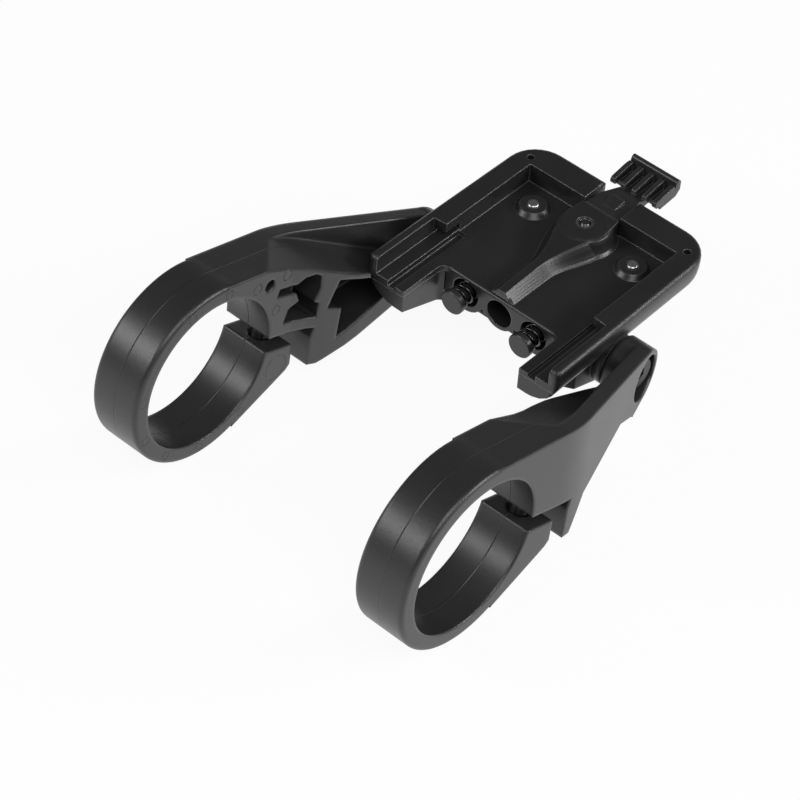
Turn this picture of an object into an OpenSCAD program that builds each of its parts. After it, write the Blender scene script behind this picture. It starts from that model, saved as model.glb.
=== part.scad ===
// Bike display mount. Two moulded arms clamp on a handlebar and carry a slide-on tray
// that tilts on two pivot bolts. Sizes are in millimetres. X runs along the handlebar,
// Y from the handlebar towards the release pad, Z up. The origin is on the handlebar
// axis, midway between the two clamp rings.

/* [Handlebar clamps] */
// Diameter of the handlebar that both clamp rings hold
bar_d = 31.8; // [30:0.1:35]
// Distance between the middles of the two clamp rings
clamp_spacing = 64.5; // [64.5:0.5:90]
// Width of each clamp ring along the handlebar
clamp_w = 11; // [10:0.5:13]
// Wall thickness of the clamp ring
ring_wall = 3.3; // [2.8:0.1:4.2]
// Height of the slot that closes when the clamp screw is tightened
clamp_gap = 3.3; // [2:0.1:4]
// Tilt of the slot, measured down from level
gap_tilt = 20; // [16:1:24]

/* [Arms] */
// Distance from the handlebar axis to the tilt axis, along Y
pivot_y = 59; // [56:0.5:74]
// Height of the tilt axis against the handlebar axis
pivot_z = -3.9; // [-6:0.1:-2]
// Radius of the round eye at the end of each arm
eye_r = 5.8; // [5.4:0.1:6.6]
// Thickness of the arm across the tilt bolt
eye_t = 5.7; // [5.4:0.1:7]
// Thickness of the outer web that carries the crest of the arm
web_t = 3.2; // [2.6:0.1:4]
// Skin left behind the moulded pockets of the inner face
skin_t = 2; // [1.4:0.1:2.4]

/* [Tray] */
// Width of the tray across its front
tray_w = 47; // [46:0.5:52]
// Length of the tray from its front ends to its back
tray_l = 48; // [46:0.5:60]
// Distance from the front ends of the tray to the tilt axis
pivot_from_front = 19.7; // [19:0.1:21]
// Height of the tray floor above the tilt axis
floor_above_pivot = 6.4; // [6.2:0.1:7.5]
// Height of the rim above the floor
rim_h = 4.3; // [3.6:0.1:6]
// Radius of the back corners seen from above
corner_r = 7.2; // [5:0.1:9]
// Half width of the pocket that takes the display foot
pocket_half = 18.2; // [17.6:0.1:18.8]
// Half width between the slide rails at the open front
rail_half = 21.2; // [20.4:0.1:21.6]
// Height of the slide rail slot under the rim
rail_h = 1.6; // [1.2:0.1:2]
// Width of the back rim behind the pocket
back_rim = 6.5; // [6:0.1:9]

/* [Plungers] */
// Distance of each plunger from the middle plane
plunger_x = 8.4; // [8.2:0.1:8.8]
// Diameter of the flat plunger head
head_d = 5.2; // [4:0.1:5.8]
// Diameter of the plunger neck
neck_d = 2.7; // [2.2:0.1:3]
// Distance that the plunger stands out in front of its sleeve
plunger_out = 4.2; // [3.6:0.1:6]
// Diameter of the cable opening between the plungers
cable_d = 6; // [5:0.1:6.4]

/* [Release lever] */
// Half width of the thumb pad
pad_half = 5.7; // [5:0.1:9]
// Distance that the pad reaches behind the tray
pad_reach = 11; // [10:0.1:16]
// Number of grip ribs on the pad
rib_count = 5; // [3:1:7]

/* [Contacts] */
// Distance of each contact pin from the middle plane
contact_x = 12.4; // [11.5:0.1:13]
// Distance from the back of the tray to the contact pins
contact_from_back = 12.2; // [11:0.1:14]
// Diameter of the contact pins
contact_d = 2.4; // [1.6:0.1:3]

/* [Fasteners] */
// Thread diameter of the clamp screws and tilt bolts
bolt_d = 4; // [3:0.5:4]
// Radial clearance of a running fit
run_gap = 0.08; // [0.05:0.01:0.1]
// Gap between parts that lie side by side
side_gap = 0.3; // [0.2:0.05:0.4]

/* [Hidden] */
$fn = 64;

arm_black = [0.17, 0.17, 0.18];
tray_black = [0.10, 0.10, 0.11];
steel = [0.72, 0.73, 0.75];
brass = [0.80, 0.66, 0.36];
board_green = [0.12, 0.32, 0.20];

// Clamp ring and arm, in the plane of one ring
bar_r = bar_d / 2;
ring_r = bar_r + ring_wall;
edge_r = 0.8;
blend = 0.1;
outer_x = clamp_spacing / 2 + clamp_w / 2;
inner_x = clamp_spacing / 2 - clamp_w / 2;
mid_x = clamp_spacing / 2;
gap_at = -14.3;
gap_reach = ring_r + 0.6;
gap_y = gap_reach * cos(gap_at);
gap_z = gap_reach * sin(gap_at);
lug_u = 3.75;
leg_u = 8.2;
knee = [ring_r + 5.3, ring_r - 6];
heel = [ring_r + 8.7, -ring_r + 3.3];
toe = [ring_r + 6.6, -ring_r + 3.9];
bend_y = ring_r + 8.8;
bend_soft = 4.5;
shelf_rise = 0.3;
eye_in = tray_w / 2 - 0.7;
eye_out_at_end = eye_in + eye_t - 1;
end_y = pivot_y + eye_r + 0.2;
face_slope = (outer_x - eye_out_at_end) / (end_y - bend_y);

// Clamp screw, along the slot's normal
screw_u = 0.4;
screw_seat = -6.6;
screw_l = 16;
insert_r = bolt_d / 2 + 0.7;
insert_from = clamp_gap / 2 + 0.5;
insert_l = 7;
insert_boss_r = insert_r + 0.9;

// Tilt bolt
bolt_r = bolt_d / 2;
bolt_head_r = bolt_r * 1.75;
bolt_head_h = 1.8;
eye_wall = 2.6;
washer_t = 0.5;
washer_gap = 0.05;
nut_flats = bolt_d * 1.75;
nut_t = bolt_d * 0.8;

// Front block with the cable tube and the two plunger sleeves
spring_room_r = 3.1;
block_half = plunger_x + spring_room_r + 2;
notch_half = block_half + 0.8;

// Tray
floor_z = pivot_z + floor_above_pivot;
rim_z = floor_z + rim_h;
split_z = floor_z - 1.3;
side_r = 7;
side_centre_z = floor_z + 1.9;
belly_z = side_centre_z - side_r;
tray_y = pivot_y - pivot_from_front;
back_y = tray_y + tray_l;
tray_half = tray_w / 2;
back_half = tray_half - 0.6;
rim_round = 0.8;
ledge_z = floor_z + 0.5;
rail_open_l = 16.3;
rail_l = 20.6;
groove_half = 16.5;
groove_deep = 0.8;
notch_l = 11.5;
notch_y = tray_y + notch_l;
pocket_y = back_y - back_rim;
slot_half = 4.4;

// Walls of the front block
block_wall = 2.7;
bore_z = floor_z - 3.7;
block_bottom = bore_z - 2.8;
tube_r = cable_d / 2 + 0.8;
sleeve_r = spring_room_r + 1.3;
sleeve_l = 6.2;
sleeve_floor = 1.2;
head_t = 1.4;
plunger_travel = 2.5;
clip_t = 0.5;

// Underside
cheek_in = block_half + 0.1;
cheek_out = cheek_in + 3;
fair_out = eye_in - 2.6;
bolt_seat = eye_in + eye_wall + washer_gap + washer_t;
tilt_bolt_l = bolt_seat - cheek_in - 0.35;
nut_from_head = bolt_seat - cheek_in - nut_t - 1.35;
knuckle_r = 5.3;
knuckle_out = eye_in - side_gap;
pod_bottom = pivot_z - 2.2;
pod_front = notch_y + 7.8;
pod_back = back_y - 3.6;
room_floor = pod_bottom + 1.6;
room_back = back_y - 5.6;
base_screw_seat = 0.6;
base_screw_at = [[tray_half - 3.9, back_y - 17, 3], [tray_half - 3.9, tray_y + 3.4, 1.2]];

// Contacts
contact_y = back_y - contact_from_back;
contact_r = contact_d / 2;
contact_flange_r = contact_r + 0.7;
board_z = room_floor + 1;
board_t = 1.2;

// Hub, lever and its pin
hub_y = pivot_y + 16.5;
hub_r = 5.1;
hub_top = rim_z - 0.5;
hub_back = pocket_y - 0.5;
lever_half = slot_half - side_gap;
lever_pin_y = pocket_y + 1.6;
lever_pin_z = floor_z + 1.4;
lever_pin_r = 0.75;
lever_pin_half = 8;
lever_front = hub_back + 0.2;
pad_front = back_y + 3.2;
pad_back = back_y + pad_reach;
spring_y = lever_pin_y + 1.6;
lever_under = floor_z + 0.4;

// Points of an arc round a centre, from one angle to another
function arc(c, r, a0, a1, n = 8) =
    [for (i = [0:n]) let (a = a0 + (a1 - a0) * i / n) c + r * [cos(a), sin(a)]];

// Point where a line from p touches the circle round c; side is 1 or -1
function touch(p, c, r, side) =
    let (d = norm(p - c), a = atan2(p[1] - c[1], p[0] - c[0]) + side * acos(r / d))
    c + r * [cos(a), sin(a)];

// Angle of point p seen from centre c
function angle_of(p, c) = atan2(p[1] - c[1], p[0] - c[0]);

// A point in the slot's own frame: u along the slot, n along its normal
function slot_pt(u, n) =
    [gap_y + u * cos(gap_tilt) + n * sin(gap_tilt), gap_z - u * sin(gap_tilt) + n * cos(gap_tilt)];

// Outer face of an arm with its soft bend, and its inner face, as X at a given Y
function past_bend(t) = t > bend_soft ? t : t < -bend_soft ? 0 : pow(t + bend_soft, 2) / (4 * bend_soft);
function outer_at(y) = outer_x - face_slope * past_bend(y - bend_y);
function outer_line(depth) = [for (i = [-4:4]) let (y = bend_y + bend_soft * i / 4) [outer_at(y) - depth, y]];
function inner_line() = [[end_y, eye_in], [pivot_y - 11, eye_in + 0.4], [pivot_y - 21.5, eye_in + 0.95],
    [pivot_y - 24.5, inner_x * 0.33 + eye_in * 0.67], [pivot_y - 29.6, inner_x * 0.6 + eye_in * 0.4],
    [pivot_y - 33.5, inner_x * 0.86 + eye_in * 0.14], [ring_r + 2.6, inner_x]];

// How far the tray's side has rounded inwards at height z
function side_inset(z) =
    z > rim_z - rim_round ? rim_round - sqrt(max(0, pow(rim_round, 2) - pow(z - rim_z + rim_round, 2)))
    : z < side_centre_z ? side_r - sqrt(max(0, pow(side_r, 2) - pow(side_centre_z - z, 2)))
    : 0;

// Outline of the tray from above, drawn in by an inset, with open square front ends
function tray_outline(inset) =
    let (c = [back_half - corner_r, back_y - corner_r], r = corner_r - min(inset, corner_r - 0.1))
    concat([[-tray_half + inset, tray_y - 12], [tray_half - inset, tray_y - 12]],
        arc([back_half - inset - r, back_y - inset - r], r, 0, 90, 8),
        arc([-back_half + inset + r, back_y - inset - r], r, 90, 180, 8));

// Closed skin over a stack of rings that have the same number of points
module skin(rings) {
    n = len(rings[0]);
    m = len(rings);
    polyhedron(
        points = [for (ring = rings) each ring],
        faces = concat(
            [[for (i = [0:n - 1]) i]],
            [for (k = [0:m - 2]) for (i = [0:n - 1]) let (j = (i + 1) % n)
                each [[k * n + i, (k + 1) * n + i, (k + 1) * n + j], [k * n + i, (k + 1) * n + j, k * n + j]]],
            [[for (i = [n - 1:-1:0]) (m - 1) * n + i]]),
        convexity = 6);
}

// Extrudes a drawing of Y and Z from x0 to x1
module along_x(x0, x1) {
    translate([x0, 0, 0]) rotate([90, 0, 90]) linear_extrude(x1 - x0) children();
}

// Extrudes a drawing of X and Z from y0 to y1
module along_y(y0, y1) {
    translate([0, y1, 0]) rotate([90, 0, 0]) linear_extrude(y1 - y0) children();
}

// Extrudes a drawing of X and Y from z0 to z1
module along_z(z0, z1) {
    translate([0, 0, z0]) linear_extrude(z1 - z0) children();
}

// Round rods along the three axes
module rod_x(x0, x1, r, y, z) {
    translate([x0, y, z]) rotate([0, 90, 0]) cylinder(h = x1 - x0, r = r);
}
module rod_y(y0, y1, r, x, z) {
    translate([x, y0, z]) rotate([-90, 0, 0]) cylinder(h = y1 - y0, r = r);
}
module rod_z(z0, z1, r, x, y) {
    translate([x, y, z0]) cylinder(h = z1 - z0, r = r);
}

// A drawing and its mirror image on the other side of the middle plane
module both_sides() {
    children();
    mirror([1, 0, 0]) children();
}

// Coil spring along Z, from z = 0, as one swept wire
module coil(mean_r, wire_d, h, turns, steps = 12, sides = 6) {
    count = turns * steps;
    rise = h - wire_d;
    skin([for (i = [0:count]) let (a = 360 * i / steps, z = wire_d / 2 + rise * i / count)
        [for (k = [0:sides - 1]) let (b = -360 * k / sides, r = mean_r + wire_d / 2 * cos(b))
            [r * cos(a), r * sin(a), z + wire_d / 2 * sin(b)]]]);
}

// Frame of the clamp slot, with its Y along the slot and its Z along the screw
module in_slot() {
    translate([mid_x, gap_y, gap_z]) rotate([-gap_tilt, 0, 0]) children();
}

// Solid disc of the clamp ring with rounded edges, before the bore is cut
module ring_disc() {
    half = clamp_w / 2;
    face_r = ring_r - edge_r;
    translate([mid_x, 0, 0]) rotate([0, 90, 0]) rotate_extrude($fn = 96)
        polygon(concat([[0, -half]], arc([face_r, -half + edge_r], edge_r, -90, 0, 4),
            arc([face_r, half - edge_r], edge_r, 0, 90, 4), [[0, half]]));
}

// Side view of the arm from the ring to the eye, with the leg under it
module arm_side() {
    eye = [pivot_y, pivot_z];
    polygon([[0, 0], touch(knee, [0, 0], ring_r - blend, 1), knee,
        touch(knee, eye, eye_r - blend / 2, -1), eye, touch(heel, eye, eye_r - blend / 2, 1),
        heel, toe, slot_pt(leg_u, -0.8), slot_pt(-6, -0.8)]);
}

// Top view of the arm between its outer and inner faces
module arm_plan() {
    polygon(concat([[inner_x, -ring_r], [outer_x, -ring_r]], outer_line(0), [[outer_at(end_y), end_y]],
        [for (p = inner_line()) [p[1], p[0]]]));
}

// Everything on the inner side of a line that lies a distance in from the outer face
module inside_of(depth) {
    along_z(-40, 40) polygon(concat([[0, -40], [outer_x - depth, -40]], outer_line(depth),
        [[outer_at(end_y) - depth, end_y], [0, end_y]]));
}

// Lower shelf of the arm, beside the crest, that lets the tray dip when it tilts.
// It rises towards the crest, so that it starts later there than at the inner face.
module shelf_cut() {
    function section(x) = let (up = shelf_rise * (x - inner_x))
        [[x, ring_r - 8, ring_r - 1.4 + up], [x, pivot_y - 6.6, pivot_z - 0.6 + up],
        [x, end_y + 2, pivot_z - 0.6 + up], [x, end_y + 2, ring_r + 12], [x, ring_r - 8, ring_r + 12]];
    intersection() {
        skin([section(inner_x - 8), section(outer_x)]);
        inside_of(web_t);
    }
}

// Rounds off the outer lower edge between the leg and the eye
module belly_cut() {
    function section(y, z, d) = [[outer_at(y) + 1, y, z + 1.2], [outer_at(y) + 1, y, z - 16],
        [outer_at(y) - d, y, z - 1.2 * d]];
    skin([section(heel[0], heel[1] - 0.4, 3), section(heel[0] + 4.8, heel[1] + 6.4, 5),
        section(pivot_y - 10.4, pivot_z - 2.5, 5), section(pivot_y - 4, pivot_z - eye_r - 0.4, 4)]);
}

// Pockets that the mould leaves in the inner face, so that the walls stay thin
module core_pockets() {
    shelf = (pivot_z - 0.6 - (ring_r - 2.7)) / (pivot_y - 6.6 - (ring_r - 4.8));
    big_top = ring_r + 13.6;
    under_shelf = ring_r - 2.7 + shelf * (big_top - ring_r + 4.8) - 2.9;
    far = pivot_y - eye_r - 4.8;
    rise = (pivot_z - eye_r - heel[1]) / (pivot_y - heel[0]);
    intersection() {
        along_x(0, outer_x) {
            // Nut side pocket over the slot, with the step that the boss leaves
            polygon([slot_pt(-1.1, 4.1), slot_pt(7.6, 4.1), [ring_r + 9.1, -0.1], [ring_r + 8, 0.6],
                [ring_r + 9.4, 3.6], [ring_r + 9.5, 6.6], [ring_r + 8.2, 7.7], [ring_r + 6, 7.9],
                [ring_r + 4, 7.3], [ring_r + 1.2, 8.2], [ring_r - 0.6, 8.9], [ring_r - 1.4, 7.3],
                [ring_r + 3.7, 5.1], [ring_r + 4.3, 2.9], [ring_r + 1.7, 2.2]]);
            // Long pocket towards the eye
            polygon([[big_top - 1.2, under_shelf - 2.4], [big_top, under_shelf], [big_top + 2, under_shelf - 0.9],
                [far, pivot_z - 0.8], [far, pivot_z - 2.8], [big_top - 0.5, heel[1] + rise * 4.9 + 3.4],
                [big_top + 0.5, -4.1], [big_top - 2.8, -2.5]]);
        }
        inside_of(skin_t);
    }
    rod_x(0, outer_x - skin_t - 1, 1.3, ring_r - 3.3, ring_r - 7.6);
}

// Lug under the slot, with the flat that the clamp screw's head sinks into
module lug() {
    foot = [ring_r + 1.4, -ring_r + 5.8];
    along_x(inner_x, outer_x) polygon([slot_pt(-6, 0), touch(foot, [0, 0], ring_r - blend, -1),
        foot - [1.8, 0.6], foot, [ring_r + 2.5, -ring_r + 6.7], slot_pt(lug_u, -clamp_gap / 2), slot_pt(lug_u, 0)]);
}

// One moulded arm with its split clamp ring, on the right side
module clamp_arm() {
    color(arm_black) difference() {
        union() {
            difference() {
                union() {
                    ring_disc();
                    difference() {
                        intersection() {
                            along_x(0, outer_x) arm_side();
                            along_z(-40, 40) arm_plan();
                        }
                        shelf_cut();
                        belly_cut();
                    }
                }
                core_pockets();
            }
            // Boss that holds the threaded insert
            in_slot() translate([0, screw_u, 0]) cylinder(h = insert_from + insert_l + 1, r = insert_boss_r);
            lug();
            // Eye round the tilt bolt
            intersection() {
                rod_x(eye_in, outer_x, eye_r, pivot_y, pivot_z);
                along_z(-40, 40) arm_plan();
            }
        }
        rod_x(inner_x - 1, outer_x + 1, bar_r, 0, 0, $fn = 96);
        in_slot() translate([-clamp_w, -7, -clamp_gap / 2]) cube([clamp_w * 2, leg_u + 7, clamp_gap]);
        // Clamp screw hole, head recess and insert hole
        in_slot() translate([0, screw_u, 0]) {
            translate([0, 0, screw_seat - 12]) cylinder(h = 12, r = bolt_head_r + 0.3);
            translate([0, 0, screw_seat - 1]) cylinder(h = -screw_seat + 2 + clamp_gap, r = bolt_r + 0.2);
            translate([0, 0, insert_from]) cylinder(h = insert_l, r = insert_r);
            cylinder(h = screw_seat + screw_l + 1, r = bolt_r + 0.2);
        }
        // Tilt bolt hole and the recess for its head
        rod_x(eye_in - 1, outer_x, bolt_r + run_gap, pivot_y, pivot_z);
        rod_x(eye_in + eye_wall, outer_x, eye_r - 1, pivot_y, pivot_z);
    }
}

// Socket head screw along Z with its seat at z = 0 and its thread above
module socket_screw(r, head_r, head_h, length) {
    difference() {
        union() {
            translate([0, 0, -head_h]) cylinder(h = head_h, r = head_r);
            cylinder(h = length, r = r);
        }
        translate([0, 0, -head_h - 1]) cylinder(h = head_h * 0.55 + 1, r = r * 0.85, $fn = 6);
    }
}

module clamp_screw() {
    color(steel) in_slot() translate([0, screw_u, screw_seat])
        socket_screw(bolt_r, bolt_head_r, bolt_d, screw_l);
}

// Brass insert that is pressed into the arm, with two knurl bands
module thread_insert() {
    color(brass) in_slot() translate([0, screw_u, insert_from]) difference() {
        union() {
            cylinder(h = insert_l, r = insert_r - 0.25);
            for (z = [0.6, insert_l - 2.8]) translate([0, 0, z]) cylinder(h = 2.2, r = insert_r);
        }
        translate([0, 0, -1]) cylinder(h = insert_l + 2, r = bolt_r);
    }
}

// Tilt bolt from the outside of the arm into the tray's knuckle
module tilt_bolt() {
    color(steel) translate([bolt_seat, pivot_y, pivot_z]) rotate([0, -90, 0])
        socket_screw(bolt_r, bolt_head_r, bolt_head_h, tilt_bolt_l);
}

module tilt_washer() {
    x = eye_in + eye_wall + washer_gap;
    color(steel) difference() {
        rod_x(x, x + washer_t, bolt_head_r + 0.6, pivot_y, pivot_z);
        rod_x(x - 1, x + washer_t + 1, bolt_r, pivot_y, pivot_z);
    }
}

// Hexagon nut that slides up into the knuckle from below
module tilt_nut() {
    x = bolt_seat - nut_from_head - nut_t;
    color(steel) difference() {
        translate([x, pivot_y, pivot_z]) rotate([0, 90, 0])
            cylinder(h = nut_t, r = nut_flats / 2 / cos(30), $fn = 6);
        rod_x(x - 1, x + nut_t + 1, bolt_r, pivot_y, pivot_z);
    }
}

// Ring of the tray's outline at one height
function tray_ring(z, inset) = [for (p = tray_outline(inset)) [p[0], p[1], z]];

// Block that gives the tray its flat front face with small round corners
module front_trim() {
    r = 1.4;
    along_z(-40, 40) polygon(concat(
        arc([-tray_half + r, tray_y + r], r, 180, 270, 5), arc([tray_half - r, tray_y + r], r, 270, 360, 5),
        [[tray_half, back_y + 1], [-tray_half, back_y + 1]]));
}

// Rounded outside of the tray between two heights
module tray_form(heights) {
    intersection() {
        skin([for (h = heights) tray_ring(h, side_inset(h))]);
        front_trim();
    }
}

// Open notch between the two front legs of the tray
module notch_cut() {
    r = 1.6;
    along_z(-40, 40) polygon(concat([[-notch_half, tray_y - 1], [notch_half, tray_y - 1]],
        arc([notch_half - r, notch_y - r], r, 0, 90, 6), arc([-notch_half + r, notch_y - r], r, 90, 180, 6)));
}

// Eases from 0 to 1 as t goes from 0 to 1
function ease(t) = let (u = min(1, max(0, t))) u * u * (3 - 2 * u);

// Raised cable tunnel from the cable opening back to the hub, which it swells into
module cable_tunnel() {
    full = hub_top - floor_z;
    start = hub_y - 14;
    swell = 13;
    steps = 4;
    function section(y) = let (t = ease((y - start) / swell), base = 2.8 + 3.5 * t, top = 0.9 + 2.9 * t,
        h = (2.2 + 0.4 * ease((y - notch_y) / (start - notch_y))) * (1 - t) + (full - 0.08) * t,
        flank = [for (i = [1:steps]) let (f = i / (steps + 1))
            [base - (base - top) * f, floor_z + h * ((1 - t) * f + t * (1 - cos(180 * f)) / 2)]])
        concat([[-base, y, floor_z - 0.5], [-base, y, floor_z]], [for (p = flank) [-p[0], y, p[1]]],
            [[-top, y, floor_z + h], [top, y, floor_z + h]], [for (i = [steps - 1:-1:0]) [flank[i][0], y, flank[i][1]]],
            [[base, y, floor_z], [base, y, floor_z - 0.5]]);
    skin(concat([section(notch_y)], [for (i = [0:14]) section(start + swell * i / 14)]));
}

// Flat-topped hub with soft sides that carries the lock screw
module hub() {
    full = hub_top - floor_z;
    translate([0, hub_y, floor_z]) rotate_extrude()
        polygon([[0, -0.5], [hub_r + 1.6, -0.5], [hub_r + 1.6, 0.1], [hub_r + 1.1, 0.6], [hub_r + 0.8, 1.4],
            [hub_r + 0.5, full - 1], [hub_r + 0.2, full - 0.4], [hub_r - 0.3, full - 0.1], [hub_r - 0.7, full],
            [0, full]]);
    along_z(floor_z - 0.5, hub_top - 0.1) polygon([[-hub_r + 0.2, hub_y], [hub_r - 0.2, hub_y],
        [slot_half, hub_back], [-slot_half, hub_back]]);
}

// Rounds a top edge that runs along X, at the front of what lies behind y0
module round_edge(x0, x1, y0, z0, r) {
    along_x(x0, x1) polygon(concat([[y0 - 1, z0 + 1], [y0 - 1, z0 - r]],
        arc([y0 + r, z0 - r], r, 180, 90, 6), [[y0 + r, z0 + 1]]));
}

// Tube and sleeves that stand behind the front face of the tray
module front_block() {
    along_y(notch_y, notch_y + block_wall) polygon([[-block_half, block_bottom], [block_half, block_bottom],
        [block_half, split_z + 0.1], [-block_half, split_z + 0.1]]);
    difference() {
        union() {
            rod_y(notch_y, notch_y + sleeve_l + sleeve_floor, tube_r, 0, bore_z);
            both_sides() rod_y(notch_y, notch_y + sleeve_l + sleeve_floor, sleeve_r, plunger_x, bore_z);
        }
        translate([-20, notch_y - 1, floor_z - 0.4]) cube([40, sleeve_l + 4, 10]);
    }
}

// Upper moulding of the tray
module tray() {
    color(tray_black) difference() {
        union() {
            difference() {
                tray_form([split_z, floor_z, side_centre_z, rim_z - rim_round, rim_z - 0.5,
                    rim_z - 0.25, rim_z - 0.08, rim_z]);
                // Pocket, slide rails, their slots under the rim, and the grooves beside the floor
                along_z(floor_z, rim_z + 1) polygon([[-pocket_half, tray_y - 1], [pocket_half, tray_y - 1],
                    [pocket_half, pocket_y], [-pocket_half, pocket_y]]);
                both_sides() {
                    along_z(ledge_z, rim_z + 1) polygon([[groove_half, tray_y - 1], [rail_half, tray_y - 1],
                        [rail_half, tray_y + rail_open_l], [pocket_half, tray_y + rail_open_l + 0.3],
                        [groove_half, tray_y + rail_open_l]]);
                    translate([groove_half, tray_y - 1, ledge_z])
                        cube([rail_half - groove_half, rail_l + 1, rail_h]);
                    translate([groove_half, tray_y - 1, floor_z - groove_deep])
                        cube([pocket_half - groove_half, rail_l + 1, rim_h]);
                }
            }
            cable_tunnel();
            hub();
            both_sides() translate([contact_x, contact_y, floor_z - 0.3]) cylinder(h = 1.3, r1 = 3.9, r2 = 2.7);
            front_block();
            both_sides() rod_z(split_z - 2.2, split_z + 0.2, 1.9, 10.4, room_back - 2.4);
        }
        notch_cut();
        round_edge(-tray_half - 1, tray_half + 1, tray_y, rim_z, 1.1);
        round_edge(-notch_half + 1.8, notch_half - 1.8, notch_y, floor_z, 0.7);
        both_sides() along_y(notch_y - 1, notch_y + 0.8) polygon([[3.65, bore_z - 2.25], [4.55, bore_z - 2.25],
            [4.1, bore_z - 1.35]]);
        // Slot for the lever through the back rim
        translate([-slot_half, hub_back, split_z - 1]) cube([slot_half * 2, back_rim + 3, rim_h + 4]);
        rod_x(-lever_pin_half, lever_pin_half, lever_pin_r, lever_pin_y, lever_pin_z);
        // Cable opening, sleeve bores and the holes for the plunger necks
        rod_y(notch_y - 1, notch_y + sleeve_l + sleeve_floor + 1, cable_d / 2, 0, bore_z);
        both_sides() {
            rod_y(notch_y - 1, notch_y + sleeve_l, spring_room_r, plunger_x, bore_z);
            rod_y(notch_y - 1, notch_y + sleeve_l + sleeve_floor + 1, neck_d / 2 + run_gap, plunger_x, bore_z);
            rod_z(split_z - 3, rim_z, contact_r + run_gap, contact_x, contact_y);
            // Blind holes in the back corners of the rim
            rod_z(rim_z - 2.5, rim_z + 1, 0.75, pocket_half + 1.3, pocket_y + 1.6);
            // Pilot holes for the board screws and the base screws
            rod_z(split_z - 3, floor_z - 0.6, 0.8, 10.4, room_back - 2.4);
            for (p = base_screw_at) rod_z(split_z - 1, split_z + p[2] + 0.2, 0.9, p[0], p[1]);
        }
        // Lock bush seat, opened below for the lock screw
        rod_z(split_z - 1, hub_top - 0.6, 2.2, 0, hub_y);
        rod_z(split_z - 1, hub_top + 1, 1.65, 0, hub_y);
    }
}

// Side view of the deep middle part under the tray
module keel_side() {
    foot = [tray_y, belly_z];
    pivot = [pivot_y, pivot_z];
    polygon([[tray_y, split_z], foot, touch(foot, pivot, knuckle_r - blend / 2, 1),
        [pivot_y + 1.2, pivot_z - knuckle_r + blend], [pivot_y + 8, pod_bottom],
        [pod_back - 3, pod_bottom], [pod_back, belly_z], [pod_back, split_z]]);
}

// Lower shell that closes the tray and carries the tilt knuckles
module tray_base() {
    nut_x = bolt_seat - nut_from_head - nut_t;
    color(tray_black) difference() {
        union() {
            tray_form([belly_z, belly_z + 0.15, belly_z + 0.8, belly_z + 2, belly_z + 3.2, split_z]);
            intersection() {
                along_x(-fair_out - 1, fair_out + 1) keel_side();
                union() {
                    both_sides() along_z(-40, 40) polygon([[cheek_in, 0], [cheek_out, 0], [cheek_out, tray_y + 7],
                        [fair_out, tray_y + 10], [fair_out, pivot_y + 3], [cheek_out, pivot_y + 8.5],
                        [cheek_out, 200], [cheek_in, 200]]);
                    translate([-cheek_out, pod_front, -40]) cube([cheek_out * 2, 200, 80]);
                }
            }
            both_sides() intersection() {
                rod_x(cheek_in, knuckle_out, knuckle_r, pivot_y, pivot_z);
                translate([0, 0, split_z - 40]) cube([100, 200, 40]);
            }
        }
        notch_cut();
        // Room for the front block
        translate([-cheek_in, tray_y - 1, -40]) cube([cheek_in * 2, pod_front - tray_y + 0.2, 80]);
        // Room for the contact board and the contact springs
        translate([-cheek_in + 0.4, pod_front - 1, room_floor])
            cube([cheek_in * 2 - 0.8, room_back - pod_front + 1, 20]);
        translate([-15.2, contact_y - 4.4, room_floor]) cube([30.4, room_back - contact_y + 4.4, 20]);
        both_sides() {
            // Tilt bolt hole, and the nut slot that opens downwards
            rod_x(cheek_in - 1, knuckle_out + 1, bolt_r + 0.1, pivot_y, pivot_z);
            translate([nut_x - 0.15, pivot_y - nut_flats / 2 - 0.1, pivot_z - 20])
                cube([nut_t + 0.3, nut_flats + 0.2, 20 + nut_flats / 2 / cos(30) + 0.1]);
            // Base screws and their sunk heads
            for (p = base_screw_at) {
                rod_z(-20, split_z + 1, 1.15, p[0], p[1]);
                rod_z(-20, split_z - base_screw_seat, 1.65, p[0], p[1]);
            }
        }
        // Lever spring seat and the lock screw hole
        rod_z(split_z - 0.8, split_z + 1, 1.7, 0, spring_y);
        rod_z(-20, 20, 1.9, 0, hub_y);
    }
}

// Four screws that hold the lower shell to the tray
module base_screws() {
    color(steel) both_sides() for (p = base_screw_at)
        translate([p[0], p[1], split_z - base_screw_seat]) socket_screw(0.9, 1.5, 0.8, base_screw_seat + p[2]);
}

// Side view of the lever from its knuckle to the back lip of the pad
module lever_side() {
    top_front = hub_top - 0.35;
    polygon([[lever_front, lever_under + 0.4], [lever_front + 0.7, lever_under], [back_y + 0.6, lever_under],
        [pad_front, floor_z + 0.35], [pad_back - 1.2, floor_z + 0.8], [pad_back - 0.6, floor_z + 1.6],
        [pad_front + 2.6, floor_z + 1.1], [pad_front + 0.4, floor_z + 1.6], [back_y + 1.6, floor_z + 2.5],
        [lever_pin_y + 1.6, top_front - 0.4], [lever_front + 0.2, top_front]]);
}

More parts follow.
